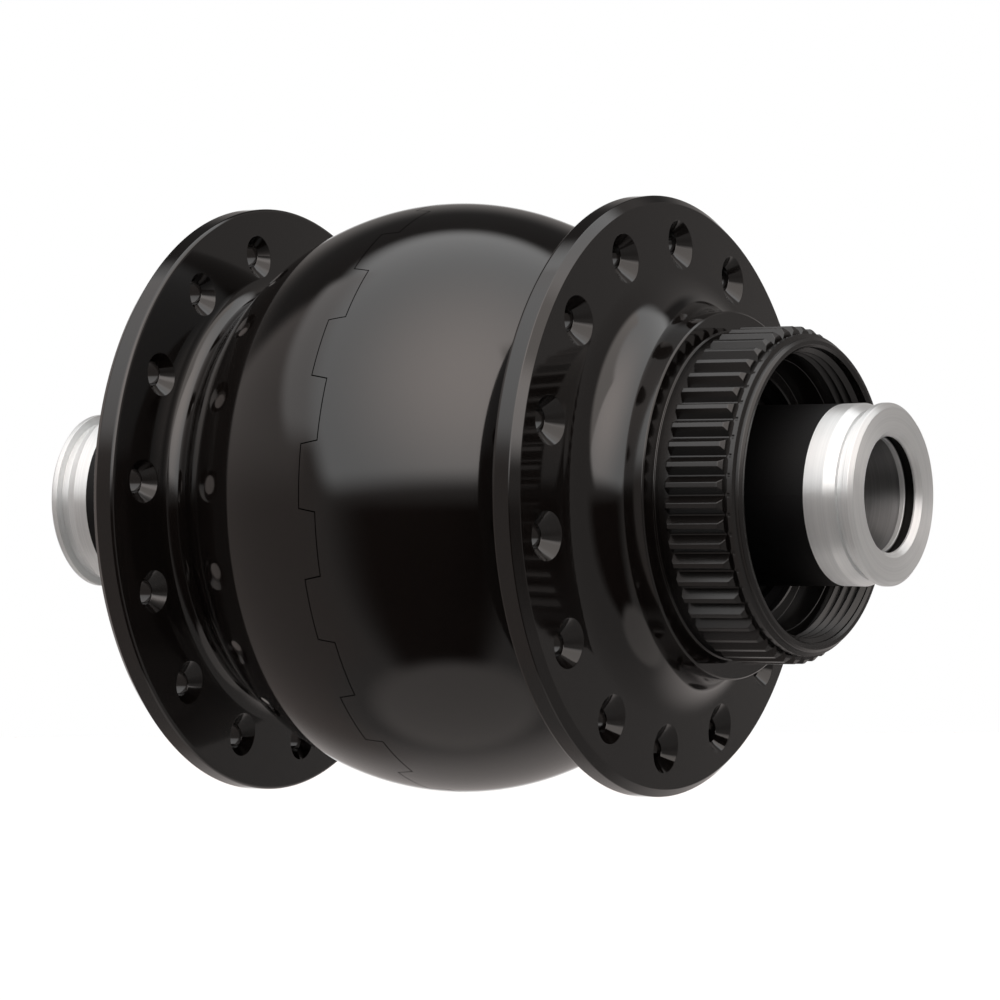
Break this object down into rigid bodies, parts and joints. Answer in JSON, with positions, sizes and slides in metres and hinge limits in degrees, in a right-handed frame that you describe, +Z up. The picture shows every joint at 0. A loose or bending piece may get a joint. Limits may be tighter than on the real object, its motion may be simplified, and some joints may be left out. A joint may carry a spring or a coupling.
{
  "type": "hub dynamo",
  "caption": "Front wheel hub with a built-in claw-pole generator, two spoke flanges, a splined disc mount and a bore for a through axle.",
  "frame": {"origin": "on the axle's centre line, halfway between the two end faces", "axes": "+Y along the axle towards the disc side, +Z up through the connector, +X to the side"},
  "size_m": [0.0636, 0.1, 0.0636],
  "materials": {
    "black_anodised": "glossy black anodised",
    "black_matt_anodised": "matt black anodised",
    "bare_aluminium": "turned bright",
    "bearing_steel": "ground",
    "soft_iron": "zinc plated pressed iron",
    "magnet": "nickel plated",
    "black_nylon": "moulded",
    "black_rubber": "moulded",
    "enamelled_copper": "wound and lacquered",
    "brass": "stamped"
  },
  "bodies": {
    "axle": {"axle_tube": "bare_aluminium", "right_end_cap": "bare_aluminium", "left_end_cap": "bare_aluminium", "right_sleeve": "black_matt_anodised", "left_sleeve": "black_matt_anodised", "right_bearing_inner_race": "bearing_steel", "left_bearing_inner_race": "bearing_steel", "right_spacer_tube": "bare_aluminium", "left_spacer_tube": "bare_aluminium", "right_claw_plate": "soft_iron", "left_claw_plate": "soft_iron", "stator_core": "soft_iron", "coil_bobbin": "black_nylon", "copper_coil": "enamelled_copper", "stator_washer": "bearing_steel", "stator_nut": "bearing_steel", "lead_wires": "black_nylon", "connector_collar": "black_nylon", "contact_blades": "brass"},
    "shell": {"left_shell": "black_anodised", "right_shell": "black_anodised", "flux_ring": "soft_iron", "rotor_magnets": "magnet", "shell_o_ring": "black_rubber", "right_bearing_outer_race": "bearing_steel", "left_bearing_outer_race": "bearing_steel", "right_bearing_seals": "black_rubber", "left_bearing_seals": "black_rubber", "right_retaining_ring": "bearing_steel", "left_retaining_ring": "bearing_steel"},
    "right_balls": {"right_bearing_balls": "bearing_steel", "right_bearing_cage": "black_nylon"},
    "left_balls": {"left_bearing_balls": "bearing_steel", "left_bearing_cage": "black_nylon"}
  },
  "joints": [
    {"name": "shell_spin", "type": "hinge", "parent": "axle", "child": "shell", "pos_m": [0, 0, 0], "axis": [0, 1, 0], "continuous": true},
    {"name": "right_balls_roll", "type": "hinge", "parent": "axle", "child": "right_balls", "pos_m": [0, 0.029, 0], "axis": [0, 1, 0], "continuous": true},
    {"name": "left_balls_roll", "type": "hinge", "parent": "axle", "child": "left_balls", "pos_m": [0, -0.033, 0], "axis": [0, 1, 0], "continuous": true}
  ],
  "couplings": [
    {"joint": "right_balls_roll", "follows": "shell_spin", "ratio": 0.5698},
    {"joint": "left_balls_roll", "follows": "shell_spin", "ratio": 0.5698}
  ]
}
